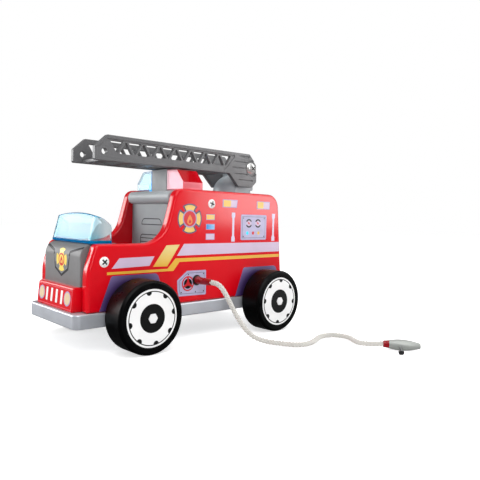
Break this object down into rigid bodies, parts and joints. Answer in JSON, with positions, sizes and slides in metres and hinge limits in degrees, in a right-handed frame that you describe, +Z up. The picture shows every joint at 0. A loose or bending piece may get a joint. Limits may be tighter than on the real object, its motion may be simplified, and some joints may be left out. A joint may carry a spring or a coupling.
{
  "type": "toy fire engine",
  "caption": "Chunky toy fire engine with an open cab, rolling wheels, a swivelling and raising roof ladder, a light bar and a rope hose with a nozzle.",
  "frame": {"origin": "on the floor, under the middle of the truck", "axes": "+X forward to the bumper, +Y to the left of the truck, +Z up"},
  "size_m": [0.2415, 0.274, 0.1783],
  "materials": {
    "red_paint": "gloss",
    "silver_paint": "satin",
    "dark_grey_paint": "satin",
    "grey_paint": "satin",
    "windshield_clear_blue": "gloss",
    "light_bar_grey": "matte",
    "blue_lens_clear": "gloss",
    "red_lens_clear": "gloss",
    "blue_lamp": "gloss",
    "red_lamp": "gloss",
    "screw_white": "gloss",
    "zinc_steel": "satin",
    "bolt_chrome": "polished",
    "black_plastic": "matte",
    "tyre_black": "gloss",
    "wheel_white": "gloss",
    "cap_white": "gloss",
    "turntable_grey": "matte",
    "ladder_grey": "satin",
    "hose_red_plastic": "gloss",
    "hose_rope": "matte",
    "nozzle_grey": "satin",
    "grip_steel": "satin"
  },
  "bodies": {
    "truck": {"chassis_board": "silver_paint", "left_side_panel": "red_paint", "right_side_panel": "red_paint", "grille_block": "red_paint", "bonnet_block": "dark_grey_paint", "windshield": "windshield_clear_blue", "cab_back_wall": "grey_paint", "cab_seat": "grey_paint", "roof_beam": "grey_paint", "roof_block": "grey_paint", "rear_wall": "red_paint", "light_bar_centre": "light_bar_grey", "blue_lens": "blue_lens_clear", "red_lens": "red_lens_clear", "blue_lamp": "blue_lamp", "red_lamp": "red_lamp", "left_panel_screws": "screw_white", "right_panel_screws": "screw_white", "chassis_screws": "zinc_steel", "front_axle_bushes": "black_plastic", "rear_axle_bushes": "black_plastic", "turntable_disc": "turntable_grey", "hose_socket": "black_plastic", "hose_plug": "hose_red_plastic", "hose": "hose_rope", "nozzle_body": "nozzle_grey", "nozzle_collar": "hose_red_plastic", "nozzle_grip": "grip_steel"},
    "front_wheels": {"front_axle": "zinc_steel", "front_left_tyre": "tyre_black", "front_left_wheel": "wheel_white", "front_left_cap": "cap_white", "front_right_tyre": "tyre_black", "front_right_wheel": "wheel_white", "front_right_cap": "cap_white"},
    "rear_wheels": {"rear_axle": "zinc_steel", "rear_left_tyre": "tyre_black", "rear_left_wheel": "wheel_white", "rear_left_cap": "cap_white", "rear_right_tyre": "tyre_black", "rear_right_wheel": "wheel_white", "rear_right_cap": "cap_white"},
    "turntable": {"turntable_post": "turntable_grey", "swivel_bolt": "zinc_steel", "swivel_washer": "zinc_steel", "ladder_pivot_bolt": "bolt_chrome", "ladder_pivot_nut": "bolt_chrome"},
    "ladder": {"ladder_left_rail": "ladder_grey", "ladder_right_rail": "ladder_grey", "ladder_rungs": "ladder_grey"}
  },
  "joints": [
    {"name": "front_wheels_roll", "type": "hinge", "parent": "truck", "child": "front_wheels", "pos_m": [0.064, 0, 0.03], "axis": [0, 1, 0], "continuous": true},
    {"name": "rear_wheels_roll", "type": "hinge", "parent": "truck", "child": "rear_wheels", "pos_m": [-0.084, 0, 0.03], "axis": [0, 1, 0], "continuous": true},
    {"name": "ladder_swivel", "type": "hinge", "parent": "truck", "child": "turntable", "pos_m": [-0.081, 0, 0.1364], "axis": [0, 0, 1], "continuous": true},
    {"name": "ladder_raise", "type": "hinge", "parent": "turntable", "child": "ladder", "pos_m": [-0.0893, 0, 0.1632], "axis": [0, -1, 0], "range_deg": [0, 65]}
  ]
}
